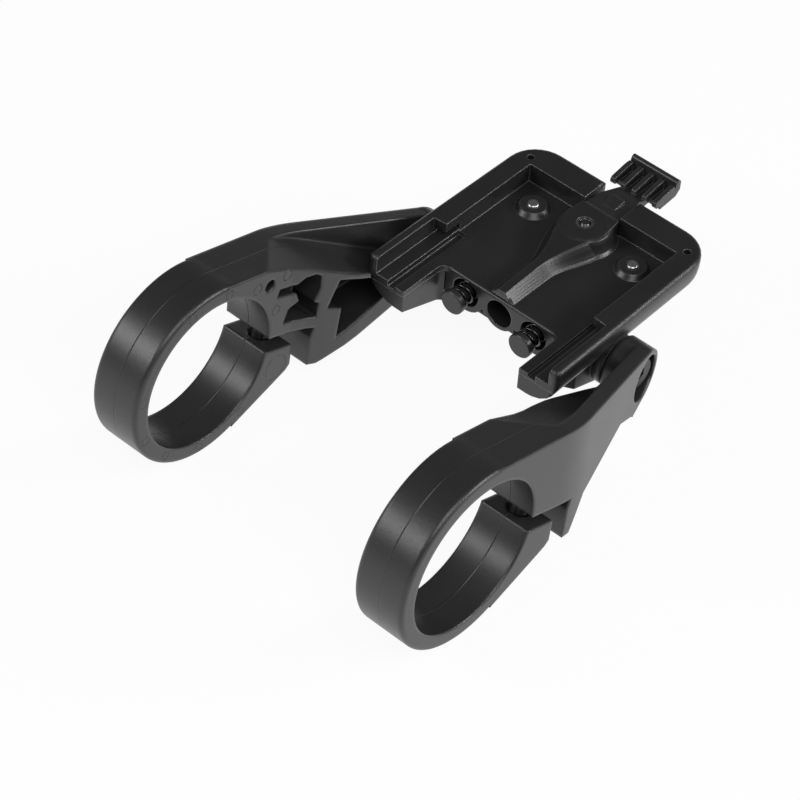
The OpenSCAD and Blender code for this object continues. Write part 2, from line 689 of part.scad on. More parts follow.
// Lever with the catch on its neck and the ribbed thumb pad
module release_lever() {
    lip_top = floor_z + 4.3;
    rib_w = 1;
    pitch = (pad_half * 2 - rib_w) / (rib_count - 1);
    color(tray_black) difference() {
        union() {
            intersection() {
                along_x(-lever_half, lever_half) lever_side();
                along_z(-20, 20) polygon([[-lever_half, lever_front], [lever_half, lever_front],
                    [lever_half, back_y - 2], [3, back_y + 1.5], [3, pad_back], [-3, pad_back],
                    [-3, back_y + 1.5], [-lever_half, back_y - 2]]);
            }
            // Thumb plate and its raised back lip
            along_x(-pad_half, pad_half) polygon(concat([[pad_front + 1.7, floor_z + 0.2],
                [pad_back - 1.2, floor_z + 0.6], [pad_back, floor_z + 1.8]],
                arc([pad_back - 0.7, lip_top - 0.7], 0.7, 0, 150, 6),
                [[pad_back - 2.1, floor_z + 1.4], [pad_front + 1.7, floor_z + 1.3]]));
            // Grip ribs that reach forward with round noses
            for (i = [0:rib_count - 1]) translate([-pad_half + i * pitch, 0, 0])
                along_x(0, rib_w) polygon(concat(arc([pad_front + 0.9, floor_z + 1.9], 0.9, 250, 110, 5),
                    [[pad_back - 3.4, lip_top - 0.9], [pad_back - 1.9, lip_top - 0.9], [pad_back - 1.8, floor_z + 0.9]]));
            // Catch that holds the display foot
            along_x(-1.5, 1.5) polygon([[lever_pin_y + 0.4, hub_top - 1.4], [lever_pin_y + 0.4, hub_top - 0.55],
                [lever_pin_y + 3.6, hub_top - 0.15], [lever_pin_y + 3.6, hub_top - 1.4]]);
        }
        rod_x(-pad_half, pad_half, lever_pin_r + run_gap, lever_pin_y, lever_pin_z);
    }
}

// Steel pin that the lever turns on, held in the back rim
module lever_pin() {
    color(steel) rod_x(-lever_pin_half, lever_pin_half, lever_pin_r, lever_pin_y, lever_pin_z);
}

module lever_spring() {
    z0 = split_z - 0.8;
    color(steel) translate([0, spring_y, z0]) coil(1.25, 0.4, lever_under - z0 - 0.05, 3);
}

// Lock screw that comes up through the hub from below
module lock_screw() {
    color(steel) translate([0, hub_y, 0]) difference() {
        union() {
            rod_z(room_floor + 2.4, hub_top - 0.5, 1.2, 0, 0);
            translate([0, 0, hub_top - 0.5]) cylinder(h = 0.6, r1 = 1.2, r2 = 0.8);
            rod_z(room_floor + 0.9, room_floor + 2.4, 1.75, 0, 0);
        }
        rod_z(room_floor, room_floor + 1.9, 0.9, 0, 0, $fn = 6);
    }
}

// Threaded bush moulded in the hub
module lock_bush() {
    color(steel) difference() {
        union() {
            rod_z(hub_top - 3.8, hub_top - 0.6, 2.2, 0, hub_y);
            rod_z(hub_top - 0.6, hub_top - 0.15, 1.65, 0, hub_y);
        }
        rod_z(hub_top - 5, hub_top + 1, 1.2, 0, hub_y);
    }
}

// Sprung contact pin with a domed tip and a flange below the floor
module contact_pin() {
    tip = floor_z + 1.4;
    color(steel) translate([contact_x, contact_y, 0]) rotate_extrude()
        polygon(concat([[0, split_z - 0.9], [contact_flange_r, split_z - 0.9], [contact_flange_r, split_z - 0.25],
            [contact_r, split_z - 0.25]], arc([contact_r - 0.5, tip - 0.5], 0.5, 0, 70, 4), [[0, tip]]));
}

module contact_spring() {
    z0 = board_z + board_t;
    color(steel) translate([contact_x, contact_y, z0]) coil(1.35, 0.35, split_z - 0.9 - z0, 3);
}

// Board that the contact springs stand on
module contact_board() {
    y0 = contact_y - 3.4;
    y1 = room_back - 0.4;
    color(board_green) difference() {
        translate([-14.9, y0, board_z]) cube([29.8, y1 - y0, board_t]);
        rod_z(board_z - 1, board_z + 2, 2.6, 0, hub_y);
        translate([-2.6, y0 - 1, board_z - 1]) cube([5.2, hub_y - y0 + 1, 3]);
        both_sides() rod_z(board_z - 1, board_z + 2, 0.95, 10.4, room_back - 2.4);
    }
}

// Two screws that hold the board up against the posts of the tray
module board_screws() {
    color(steel) both_sides() translate([10.4, room_back - 2.4, board_z]) socket_screw(0.8, 1.5, 0.7, 3.4);
}

// Plunger with a flat head, along Y
module plunger() {
    y0 = notch_y - plunger_out;
    clip_y = notch_y + sleeve_l + sleeve_floor + 0.1;
    color(tray_black) translate([plunger_x, y0, bore_z]) rotate([-90, 0, 0]) rotate_extrude()
        polygon([[0, 0], [head_d / 2 - 0.2, 0], [head_d / 2, 0.2], [head_d / 2, head_t - 0.2],
            [head_d / 2 - 0.2, head_t], [neck_d / 2, head_t], [neck_d / 2, clip_y - y0],
            [neck_d / 2 - 0.4, clip_y - y0], [neck_d / 2 - 0.4, clip_y + clip_t - y0],
            [neck_d / 2, clip_y + clip_t - y0], [neck_d / 2, clip_y + clip_t + 0.5 - y0], [0, clip_y + clip_t + 0.5 - y0]]);
}

module plunger_spring() {
    y0 = notch_y - plunger_out + head_t;
    color(steel) translate([plunger_x, y0, bore_z]) rotate([-90, 0, 0])
        coil(2.05, 0.5, notch_y + sleeve_l - y0, 6);
}

// Snap ring that stops the plunger behind its sleeve
module plunger_clip() {
    y0 = notch_y + sleeve_l + sleeve_floor + 0.1;
    color(steel) difference() {
        rod_y(y0, y0 + clip_t, neck_d / 2 + 1, plunger_x, bore_z);
        rod_y(y0 - 1, y0 + 1, neck_d / 2 - 0.4, plunger_x, bore_z);
        translate([plunger_x - 0.7, y0 - 1, bore_z - 4]) cube([1.4, 3, 4]);
    }
}

// Left side of a part that is drawn on the right
module left() {
    mirror([1, 0, 0]) children();
}

left() clamp_arm();  // left_clamp_arm
clamp_arm();  // right_clamp_arm
left() clamp_screw();  // left_clamp_screw
clamp_screw();  // right_clamp_screw
left() thread_insert();  // left_thread_insert
thread_insert();  // right_thread_insert
left() tilt_bolt();  // left_tilt_bolt
tilt_bolt();  // right_tilt_bolt
left() tilt_nut();  // left_tilt_nut
tilt_nut();  // right_tilt_nut
left() tilt_washer();  // left_tilt_washer
tilt_washer();  // right_tilt_washer
tray();
tray_base();
base_screws();
release_lever();
lever_pin();
lever_spring();
lock_screw();
lock_bush();
left() contact_pin();  // left_contact_pin
contact_pin();  // right_contact_pin
left() contact_spring();  // left_contact_spring
contact_spring();  // right_contact_spring
contact_board();
board_screws();
left() plunger();  // left_plunger
plunger();  // right_plunger
left() plunger_spring();  // left_plunger_spring
plunger_spring();  // right_plunger_spring
left() plunger_clip();  // left_plunger_clip
plunger_clip();  // right_plunger_clip
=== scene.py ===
"""Finish, springs and studio of the bike display mount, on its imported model.

Lengths inside the functions are in millimetres and become metres when a mesh or a node gets them.
X runs along the handlebar, Y from the clamps to the release pad, Z up. The origin is on the handlebar's
axis, midway between the two clamp rings.
"""

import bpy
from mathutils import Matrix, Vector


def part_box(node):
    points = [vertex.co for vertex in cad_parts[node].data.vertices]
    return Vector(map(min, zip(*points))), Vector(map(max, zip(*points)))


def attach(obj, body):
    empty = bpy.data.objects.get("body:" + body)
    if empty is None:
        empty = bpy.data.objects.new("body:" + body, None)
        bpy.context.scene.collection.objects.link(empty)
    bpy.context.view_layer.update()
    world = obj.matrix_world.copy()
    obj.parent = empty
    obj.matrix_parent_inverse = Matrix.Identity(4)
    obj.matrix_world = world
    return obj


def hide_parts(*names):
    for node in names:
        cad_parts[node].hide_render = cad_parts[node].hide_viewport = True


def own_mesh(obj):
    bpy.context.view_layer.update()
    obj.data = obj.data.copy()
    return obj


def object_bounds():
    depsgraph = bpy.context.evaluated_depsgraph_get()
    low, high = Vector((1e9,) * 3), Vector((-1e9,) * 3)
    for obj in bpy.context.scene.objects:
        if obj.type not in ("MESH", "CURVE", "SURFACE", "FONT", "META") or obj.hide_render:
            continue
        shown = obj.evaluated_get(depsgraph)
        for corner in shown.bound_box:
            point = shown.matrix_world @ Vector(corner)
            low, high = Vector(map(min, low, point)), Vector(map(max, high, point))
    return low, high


bl_info = {
    "name": "Bike display mount",
    "version": (1, 0, 0),
    "blender": (4, 5, 0),
    "location": "View3D > Sidebar > Display mount",
    "description": "Gives the display mount its plastics, metals, springs and studio",
    "category": "Object",
}

from math import cos, radians, sin

import bpy
import numpy as np
from bpy.props import FloatProperty, FloatVectorProperty, IntProperty, PointerProperty
from mathutils import Matrix, Vector

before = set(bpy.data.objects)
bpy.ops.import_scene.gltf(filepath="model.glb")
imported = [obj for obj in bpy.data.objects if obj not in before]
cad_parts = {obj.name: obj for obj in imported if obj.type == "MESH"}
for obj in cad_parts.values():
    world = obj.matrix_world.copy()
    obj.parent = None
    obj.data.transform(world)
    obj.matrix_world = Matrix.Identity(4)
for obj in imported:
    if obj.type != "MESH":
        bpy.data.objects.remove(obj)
CAD_BOX = [list(corner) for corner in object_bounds()]
MM = 0.001
AXIS_X, AXIS_Y, AXIS_Z = 0, 1, 2

# Places in the part, in millimetres from the middle plane, the handlebar's axis and its height
RING_MIDDLE_X = 32.25
RING_END_Y = 27.0
ARM_INSIDE_X = 27.0
TRAY_WALL_X = 21.6
TRAY_BACK_Y = 85.0
TRAY_SEAM_Z = 5.1
BASE_SEAM_Z = -9.0

# Travel of each sprung piece, in millimetres along its spring
PLUNGER_TRAVEL = 2.5
CONTACT_TRAVEL = 0.8
LEVER_TRAVEL = 0.45

# The floor, in millimetres, its number of sides and the share of it that is pure white to the camera
FLOOR_RADIUS = 3000.0
FLOOR_THICKNESS = 4.0
FLOOR_GAP = 0.3
FLOOR_SIDES = 96
FLOOR_WHITE = 0.93
OBJECT_MIDDLE_Y = 40.0

# The photograph's width and focal length in pixels, and the camera's sensor in millimetres
PHOTO_WIDTH = 800.0
FOCAL_LENGTH = 2918.856
SENSOR_WIDTH = 36.0

ARMS = ["left_clamp_arm", "right_clamp_arm"]
LEVER = ["release_lever"]
PLUNGERS = ["left_plunger", "right_plunger"]
BLACK_SCREWS = [
    "left_clamp_screw",
    "right_clamp_screw",
    "left_tilt_bolt",
    "right_tilt_bolt",
    "left_tilt_washer",
    "right_tilt_washer",
]
BRIGHT_SCREWS = [
    "left_tilt_nut",
    "right_tilt_nut",
    "base_screws",
    "board_screws",
    "lever_pin",
]
CLIPS = ["left_plunger_clip", "right_plunger_clip"]
CONTACTS = ["left_contact_pin", "right_contact_pin"]
INSERTS = ["left_thread_insert", "right_thread_insert"]

# Each metal's name, colour, roughness, the axis that its grooves run round, and the nodes that wear it
METALS = [
    ("blackened steel", (0.075, 0.075, 0.078), 0.36, AXIS_X, BLACK_SCREWS),
    ("screw steel", (0.5, 0.5, 0.52), 0.32, AXIS_X, BRIGHT_SCREWS),
    ("bush steel", (0.4, 0.4, 0.41), 0.3, AXIS_Z, ["lock_bush"]),
    ("lock steel", (0.2, 0.2, 0.205), 0.3, AXIS_Z, ["lock_screw"]),
    ("contact plating", (0.6, 0.6, 0.61), 0.36, AXIS_Z, CONTACTS),
    ("insert brass", (0.72, 0.52, 0.24), 0.3, AXIS_Z, INSERTS),
]


# Sizes and colours


class PlasticFinish(bpy.types.PropertyGroup):
    """The black moulded plastics."""

    arm_colour: FloatVectorProperty(
        name="Arm colour",
        description="Colour of the clamp arms' plastic",
        subtype="COLOR",
        default=(0.015, 0.015, 0.0158),
        min=0,
        max=1,
    )
    tray_colour: FloatVectorProperty(
        name="Tray colour",
        description="Colour of the tray and its base",
        subtype="COLOR",
        default=(0.011, 0.011, 0.0115),
        min=0,
        max=1,
    )
    # Lighter colour along edges: partly rubbed wear, partly a painted highlight where edges would catch the
    # lamps
    rubbed_edge_and_highlight_colour: FloatVectorProperty(
        name="Edge colour",
        description="Colour of the tray's and the lever's rubbed edges",
        subtype="COLOR",
        default=(0.085, 0.085, 0.087),
        min=0,
        max=1,
    )
    arm_edge: FloatProperty(
        name="Arm edge radius",
        description="Radius that softens the arms' moulded edges",
        subtype="DISTANCE",
        default=0.0009,
        min=0,
    )
    tray_edge: FloatProperty(
        name="Tray edge radius",
        description="Radius that softens the tray's moulded edges",
        subtype="DISTANCE",
        default=0.0004,
        min=0,
    )
    rim_edge: FloatProperty(
        name="Rim edge radius",
        description="Radius that softens the outer edge of the tray's rim",
        subtype="DISTANCE",
        default=0.0016,
        min=0,
    )


class SpringSizes(bpy.types.PropertyGroup):
    """The coil springs of the plungers, the lever and the contacts."""

    wire: FloatProperty(
        name="Plunger wire",
        description="Diameter of the wire of the plunger springs",
        subtype="DISTANCE",
        default=0.0005,
        min=0.0001,
    )
    lever_wire: FloatProperty(
        name="Lever wire",
        description="Diameter of the wire of the lever's spring",
        subtype="DISTANCE",
        default=0.0004,
        min=0.0001,
    )
    contact_wire: FloatProperty(
        name="Contact wire",
        description="Diameter of the wire of the contact springs",
        subtype="DISTANCE",
        default=0.00035,
        min=0.0001,
    )
    turns: FloatProperty(
        name="Turns",
        description="Turns of each plunger spring, its closed ends included",
        default=6.5,
        min=2,
    )
    short_turns: FloatProperty(
        name="Short spring turns",
        description="Turns of the lever's and the contacts' springs, their closed ends included",
        default=4,
        min=2,
    )
    steps: IntProperty(
        name="Steps",
        description="Rings of vertices in one turn",
        default=48,
        min=8,
    )


class Studio(bpy.types.PropertyGroup):
    """Lamps and background."""

    key: FloatProperty(
        name="Key lamp",
        description="Power of the large lamp overhead",
        subtype="POWER",
        default=2.9,
        min=0,
    )
    side: FloatProperty(
        name="Side lamp",
        description="Power of the narrow lamp behind on the right",
        subtype="POWER",
        default=4.2,
        min=0,
    )
    front: FloatProperty(
        name="Front lamp",
        description="Power of the narrow lamp in front on the left",
        subtype="POWER",
        default=2.4,
        min=0,
    )
    sky: FloatProperty(
        name="Surround",
        description="Strength of the even light from all round",
        default=0.14,
        min=0,
    )


# Shader maths


class Wire:
    """An output socket. Arithmetic on it adds Math nodes to its board."""

    def __init__(self, board, socket):
        self.board = board
        self.socket = socket

    def maths(self, operation, *values):
        return self.board.add("ShaderNodeMath", {"operation": operation}, dict(enumerate(values)))

    def __add__(self, other):
        return self.maths("ADD", self, other)

    def __sub__(self, other):
        return self.maths("SUBTRACT", self, other)

    def __rsub__(self, other):
        return self.maths("SUBTRACT", other, self)

    def __mul__(self, other):
        return self.maths("MULTIPLY", self, other)

    def __truediv__(self, other):
        return self.maths("DIVIDE", self, other)

    def __lt__(self, other):
        return self.maths("LESS_THAN", self, other)

    def __gt__(self, other):
        return self.maths("GREATER_THAN", self, other)

    def __abs__(self):
        return self.maths("ABSOLUTE", self)

    __radd__ = __add__

    def most(self, other):
        return self.maths("MAXIMUM", self, other)

    def least(self, other):
        return self.maths("MINIMUM", self, other)

    def clamped(self):
        return self.most(0.0).least(1.0)


class Board:
    """The node tree of a new material, or of the world that is given."""

    def __init__(self, name, world=None):
        self.owner = world or bpy.data.materials.new(name)
        self.owner.use_nodes = True
        self.tree = self.owner.node_tree
        self.tree.nodes.clear()

    def add(self, kind, settings=None, sockets=None, out=0):
        """Adds a node, sets it up, then fills its sockets with values or wires. Gives one of its outputs."""
        node = self.tree.nodes.new(kind)
        for key, value in (settings or {}).items():
            setattr(node, key, value)
        for key, value in (sockets or {}).items():
            if isinstance(value, Wire):
                self.tree.links.new(value.socket, node.inputs[key])
            else:
                node.inputs[key].default_value = value
        return Wire(self, node.outputs[out]) if node.outputs else None

    def place(self):
        """Object coordinates as one vector wire."""
        return self.add("ShaderNodeTexCoord", out="Object")

    def axes(self, place):
        """The three parts of a vector wire, in millimetres."""
        split = self.add("ShaderNodeSeparateXYZ", sockets={0: place})
        outputs = split.socket.node.outputs
        return [Wire(self, outputs[i]) * (1 / MM) for i in range(3)]

    def noise(self, place, size, detail=2.0, roughness=0.5):
        """Noise whose lumps are about this many millimetres across, from 0 to 1."""
        return self.add(
            "ShaderNodeTexNoise",
            sockets={"Vector": place, "Scale": 1 / (size * MM), "Detail": detail, "Roughness": roughness},
        )

    def mix(self, factor, first, second):
        """A colour between two colours."""
        node = self.add("ShaderNodeMix", {"data_type": "RGBA"}, {0: factor}, out=2)
        for key, value in ((6, first), (7, second)):
            if isinstance(value, Wire):
                self.tree.links.new(value.socket, node.socket.node.inputs[key])
            else:
                node.socket.node.inputs[key].default_value = (*value[:3], 1)
        return node

    def soft_edges(self, radius):
        """The surface normal as it would be if every edge had this radius, and how near an edge it is."""
        rounded = self.add("ShaderNodeBevel", {"samples": 12}, {"Radius": radius})
        plain = self.add("ShaderNodeNewGeometry", out="Normal")
        turned = self.add(
            "ShaderNodeVectorMath", {"operation": "DOT_PRODUCT"}, {0: rounded, 1: plain}, out="Value"
        )
        return rounded, ((1 - turned) * 8).clamped()

    def bumped(self, height, depth, normal=None):
        """A normal that follows a height from 0 to 1, this many millimetres deep."""
        sockets = {"Height": height, "Distance": depth * MM, "Strength": 1.0}
        if normal is not None:
            sockets["Normal"] = normal
        return self.add("ShaderNodeBump", sockets=sockets)

    def surface(self, sockets):
        """Ends the tree in one Principled shader."""
        shader = self.add("ShaderNodeBsdfPrincipled", sockets=sockets)
        self.add("ShaderNodeOutputMaterial", sockets={"Surface": shader})
        return self.owner


def wear(material, names):
    """Puts a finished material on CAD nodes."""
    for name in names:
        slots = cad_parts[name].data.materials
        slots.clear()
        slots.append(material)


# Plastics


# Half the width of the arms' parting line, the tray's seam and a pin mark's ring, in millimetres
LINE_HALF_WIDTH = 0.13
SEAM_HALF_WIDTH = 0.12
MARK_HALF_WIDTH = 0.16

# The pin marks on an arm's inner face: Y, Z and radius in millimetres
EJECTOR_MARKS = [
    (-16.8, 4.5, 0.9),
    (-16.6, -5.4, 0.9),
    (-11.7, -13.0, 0.9),
    (-3.0, -17.2, 0.9),
    (8.2, -15.6, 0.9),
    (-4.3, 16.9, 0.9),
    (5.2, 16.6, 0.9),
    (12.6, 13.0, 1.1),
    (20.6, 11.3, 1.1),
    (17.6, 4.4, 1.0),
    (17.7, -10.6, 2.8),
]


def ejector_marks(board, place):
    """Thin rings that the mould's pins leave: 1 on a circle, falling to 0 at MARK_HALF_WIDTH from it."""
    flat = board.add("ShaderNodeVectorMath", {"operation": "MULTIPLY"}, {0: place, 1: (0, 1, 1)})
    marks = None
    for y, z, radius in EJECTOR_MARKS:
        away = board.add(
            "ShaderNodeVectorMath", {"operation": "DISTANCE"}, {0: flat, 1: (0, y * MM, z * MM)}, out="Value"
        )
        ring = 1 - abs(away * (1 / MM) - radius) / MARK_HALF_WIDTH
        marks = ring if marks is None else marks.most(ring)
    return marks.clamped()


def arm_plastic(finish):
    """Fine-grained black plastic with a parting line round the rings and pin marks on the inner faces."""
    board = Board("arm plastic")
    place = board.place()
    x, y, _ = board.axes(place)
    across = abs(x)
    line = (1 - abs(across - RING_MIDDLE_X) / LINE_HALF_WIDTH).clamped() * (y < RING_END_Y)
    marks = ejector_marks(board, place) * (across < ARM_INSIDE_X)
    grain = board.noise(place, size=0.22, detail=3.0, roughness=0.6)
    cloud = board.noise(place, size=14.0, detail=2.0)
    rounded, edge = board.soft_edges(finish.arm_edge)
    height = grain * 0.22 + line * 0.6 - marks
    # Tone: random cloud and grain, a painted highlight that lightens the edges (edge * 0.5), darker pin-mark
    # rings and a darker parting line
    tone = (cloud - 0.5) * 0.3 + (grain - 0.5) * 0.9 + edge * 0.5 - marks * 0.6 - line * 0.5
    dark = [c * 0.65 for c in finish.arm_colour]
    light = [c * 2.0 + 0.004 for c in finish.arm_colour]
    return board.surface(
        {
            "Base Color": board.mix((tone + 0.35).clamped(), dark, light),
            "Roughness": (0.36 + (grain - 0.5) * 0.14 + (cloud - 0.5) * 0.08 - edge * 0.06).clamped(),
            "Normal": board.bumped(height, depth=0.1, normal=rounded),
            "Specular IOR Level": 0.62,
        }
    )


def tray_plastic(finish, name, seam):
    """Satin black plastic. A seam is the height of the mould's parting line on the outer wall."""
    board = Board(name)
    place = board.place()
    x, y, z = board.axes(place)
    grain = board.noise(place, size=0.16, detail=3.0, roughness=0.55)
    cloud = board.noise(place, size=9.0, detail=3.0)
    outside = (abs(x) > TRAY_WALL_X).most(y > TRAY_BACK_Y)
    sharp, edge = board.soft_edges(finish.tray_edge)
    round_rim, _ = board.soft_edges(finish.rim_edge)
    rounded = board.mix(outside, sharp, round_rim)
    line = (1 - abs(z - seam) / SEAM_HALF_WIDTH).clamped() * outside
    tone = (cloud - 0.5) * 0.3 + (grain - 0.5) * 0.4 - line * 0.4
    dark = [c * 0.7 for c in finish.tray_colour]
    light = [c * 2.6 + 0.01 for c in finish.tray_colour]
    plain = board.mix((tone + 0.25).clamped(), dark, light)
    return board.surface(
        {
            # Edges take the lighter edge colour: partly rubbed wear, partly a painted highlight along the
            # edges
            "Base Color": board.mix(edge * 0.8, plain, finish.rubbed_edge_and_highlight_colour),
            "Roughness": (0.33 + (grain - 0.5) * 0.1 + (cloud - 0.5) * 0.06 - edge * 0.08).clamped(),
            "Normal": board.bumped(grain * 0.2 + line, depth=0.025, normal=rounded),
            "Specular IOR Level": 0.5,
        }
    )


def glossy_plastic(finish, name, roughness, edge_radius):
    """Smoother black plastic of the lever and the plungers, with faint rubbing."""
    board = Board(name)
    place = board.place()
    grain = board.noise(place, size=0.3, detail=3.0, roughness=0.5)
    rub = board.noise(place, size=3.0, detail=4.0, roughness=0.65)
    rounded, edge = board.soft_edges(edge_radius)
    dark = [c * 0.9 for c in finish.tray_colour]
    light = [c * 3.2 + 0.012 for c in finish.tray_colour]
    plain = board.mix(((rub - 0.5) * 0.4 + 0.25).clamped(), dark, light)
    return board.surface(
        {
            # Edges take the lighter edge colour: partly rubbed wear, partly a painted highlight along the
            # edges
            "Base Color": board.mix(edge * 0.8, plain, finish.rubbed_edge_and_highlight_colour),
            "Roughness": (roughness + (rub - 0.5) * 0.14 + (grain - 0.5) * 0.05).clamped(),
            "Normal": board.bumped(grain * 0.3 + rub * 0.4, depth=0.02, normal=rounded),
            "Specular IOR Level": 0.5,
        }
    )


# Metals


# How much finer the grooves are along the axis than round it
GROOVE_STRETCH = 14.0


def worked_metal(name, colour, roughness, axis, edge_radius=0.00012):
    """Turned metal: fine grooves round an axis, a little tarnish in the hollows, and a lighter colour
    towards the edges.
    """
    board = Board(name)
    place = board.place()
    stretch = [1.0, 1.0, 1.0]
    stretch[axis] = GROOVE_STRETCH
    grooves = board.add("ShaderNodeVectorMath", {"operation": "MULTIPLY"}, {0: place, 1: tuple(stretch)})
    lines = board.noise(grooves, size=0.9, detail=2.0, roughness=0.5)
    tarnish = board.noise(place, size=1.6, detail=4.0, roughness=0.6)
    rounded, edge = board.soft_edges(edge_radius)
    dark = [c * 0.62 for c in colour]
    return board.surface(
        {
            "Base Color": board.mix((tarnish * 0.9 + edge * 0.5 + 0.1).clamped(), dark, colour),
            "Metallic": 1.0,
            "Roughness": (roughness + (tarnish - 0.5) * 0.2 + (lines - 0.5) * 0.12).clamped(),
            "Normal": board.bumped(lines, depth=0.002, normal=rounded),
        }
    )


def board_lacquer():
    """Green lacquer over copper tracks."""
    board = Board("board lacquer")
    place = board.place()
    tracks = board.add(
        "ShaderNodeTexWave",
        {"wave_type": "BANDS", "bands_direction": "X"},
        {"Vector": place, "Scale": 180.0},
        out=1,
    )
    cloud = board.noise(place, size=2.0, detail=3.0)
    mask = ((tracks - 0.62) * 12).clamped()
    return board.surface(
        {
            "Base Color": board.mix(mask * 0.6, (0.012, 0.075, 0.03), (0.05, 0.19, 0.06)),
            "Roughness": (0.25 + (cloud - 0.5) * 0.15).clamped(),
            "Normal": board.bumped(mask, 0.03),
        }
    )


# Surfaces


def surface_object(name, points, material):
    """A closed mesh from a grid of rings.

    points[i, j] is point j of ring i. Four neighbours make a face, and a fan round its middle caps each end.
    """
    rings, sides, _ = points.shape
    grid = np.arange(rings * sides).reshape(rings, sides)
    after = np.roll(grid, -1, axis=1)
    quads = np.stack([grid[:-1], after[:-1], after[1:], grid[1:]], axis=-1).reshape(-1, 4)
    first, last = rings * sides, rings * sides + 1
    vertices = np.vstack([points.reshape(-1, 3), points[0].mean(axis=0), points[-1].mean(axis=0)])
    start = np.stack([after[0], grid[0], np.full(sides, first)], axis=-1)
    end = np.stack([grid[-1], after[-1], np.full(sides, last)], axis=-1)
    mesh = bpy.data.meshes.new(name)
    mesh.from_pydata((vertices * MM).tolist(), [], quads.tolist() + start.tolist() + end.tolist())
    mesh.polygons.foreach_set("use_smooth", np.ones(len(mesh.polygons), dtype=bool))
    mesh.materials.append(material)
    mesh.update()
    thing = bpy.data.objects.new(name, mesh)
    bpy.context.scene.collection.objects.link(thing)
    return thing


def coil(low, high, mean_radius, wire_radius, turns, steps, sides=10):
    """A compression spring between two points, on the line between them.

    The wire's middle runs round the axis at mean_radius. It climbs one wire's thickness over the first turn
    and over the last, so that the ends close, and evenly in between. The section is a circle across the
    wire's direction.
    """
    low, high = np.array(low, float), np.array(high, float)
    axis = (high - low) / np.linalg.norm(high - low)
    side = np.cross(axis, [0.0, 0.0, 1.0] if abs(axis[2]) < 0.9 else [1.0, 0.0, 0.0])
    side /= np.linalg.norm(side)
    third = np.cross(axis, side)
    t = np.linspace(0.0, 1.0, int(turns * steps) + 1)
    closed = 1.0 / turns
    travel = np.linalg.norm(high - low) - 2 * wire_radius
    ramp = np.clip((t - closed) / (1 - 2 * closed), 0.0, 1.0)
    lift = wire_radius + 2 * wire_radius * (np.minimum(t, closed) + np.maximum(t - 1 + closed, 0)) * turns
    lift = lift + (travel - 4 * wire_radius) * ramp
    angle = 2 * np.pi * turns * t
    out = np.cos(angle)[:, None] * side + np.sin(angle)[:, None] * third
    middle = low + out * mean_radius + lift[:, None] * axis
    along = np.gradient(middle, axis=0)
    along /= np.linalg.norm(along, axis=1, keepdims=True)
    up = np.cross(along, out)
    turn = np.linspace(0, 2 * np.pi, sides, endpoint=False)
    return (
        middle[:, None, :]
        + wire_radius * np.cos(turn)[None, :, None] * out[:, None, :]
        + wire_radius * np.sin(turn)[None, :, None] * up[:, None, :]
    )


# Operators


class DISPLAYMOUNT_OT_arms(bpy.types.Operator):
    """Gives both clamp arms their grained plastic"""

    bl_idname = "displaymount.arms"
    bl_label = "Clamp arms"

    def execute(self, context):
        wear(arm_plastic(context.scene.mount_plastic), ARMS)
        return {"FINISHED"}


class DISPLAYMOUNT_OT_tray(bpy.types.Operator):
    """Gives the tray and its base their satin plastic"""

    bl_idname = "displaymount.tray"
    bl_label = "Tray"

    def execute(self, context):
        finish = context.scene.mount_plastic
        wear(tray_plastic(finish, "tray plastic", TRAY_SEAM_Z), ["tray"])
        wear(tray_plastic(finish, "base plastic", BASE_SEAM_Z), ["tray_base"])
        return {"FINISHED"}


class DISPLAYMOUNT_OT_lever(bpy.types.Operator):
    """Gives the release lever its smooth plastic"""

    bl_idname = "displaymount.lever"
    bl_label = "Release lever"

    def execute(self, context):
        finish = context.scene.mount_plastic
        wear(glossy_plastic(finish, "lever plastic", roughness=0.33, edge_radius=0.0003), LEVER)
        return {"FINISHED"}


class DISPLAYMOUNT_OT_plungers(bpy.types.Operator):
    """Gives the plungers their plastic"""

    bl_idname = "displaymount.plungers"
    bl_label = "Plungers"

    def execute(self, context):
        finish = context.scene.mount_plastic
        wear(glossy_plastic(finish, "plunger plastic", roughness=0.34, edge_radius=0.0002), PLUNGERS)
        return {"FINISHED"}


class DISPLAYMOUNT_OT_springs(bpy.types.Operator):
    """Winds the springs with closed ends, in place of the plain coils"""

    bl_idname = "displaymount.springs"
    bl_label = "Springs"

    def execute(self, context):
        sizes = context.scene.mount_springs
        metal = worked_metal("spring wire", (0.085, 0.085, 0.09), 0.28, AXIS_Y, edge_radius=0.0001)
        wear(metal, CLIPS)
        for side in ("left", "right"):
            owner = side + "_plunger"
            coil_piece, front, back = self.wind(metal, owner, AXIS_Y, sizes.wire, sizes.turns, sizes.steps)
            self.shorten(coil_piece, owner + "_slide", back, front, PLUNGER_TRAVEL)
            owner = side + "_contact"
            coil_piece, foot, top = self.wind(
                metal, owner, AXIS_Z, sizes.contact_wire, sizes.short_turns, sizes.steps
            )
            self.shorten(coil_piece, owner + "_press", foot, top, CONTACT_TRAVEL)
        coil_piece, foot, top = self.wind(
            metal, "lever", AXIS_Z, sizes.lever_wire, sizes.short_turns, sizes.steps
        )
        self.shorten(coil_piece, "lever_press", foot, top, LEVER_TRAVEL)
        return {"FINISHED"}

    def wind(self, metal, owner, axis, wire, turns, steps):
        """Winds the spring of one sprung piece in its plain coil's box. Gives it and its ends' middles."""
        node = owner + "_spring"
        low, high = (np.array(corner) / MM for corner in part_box(node))
        start = (low + high) / 2
        end = start.copy()
        start[axis], end[axis] = low[axis], high[axis]
        radius = wire / MM / 2
        mean_radius = (high[AXIS_X] - low[AXIS_X]) / 2 - radius
        piece = surface_object(owner + "_coil", coil(start, end, mean_radius, radius, turns, steps), metal)
        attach(piece, "tray")
        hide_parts(node)
        return piece, start, end

    def shorten(self, piece, joint, fixed_end, free_end, travel):
        """Gives a wound spring a mesh of its own; it does not shorten as the joint moves."""
        span = abs(free_end - fixed_end)
        length = span.max()
        anchor = (fixed_end * MM).tolist()
        (span / length).tolist()
        float(1 - travel / length)
        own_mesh(piece)


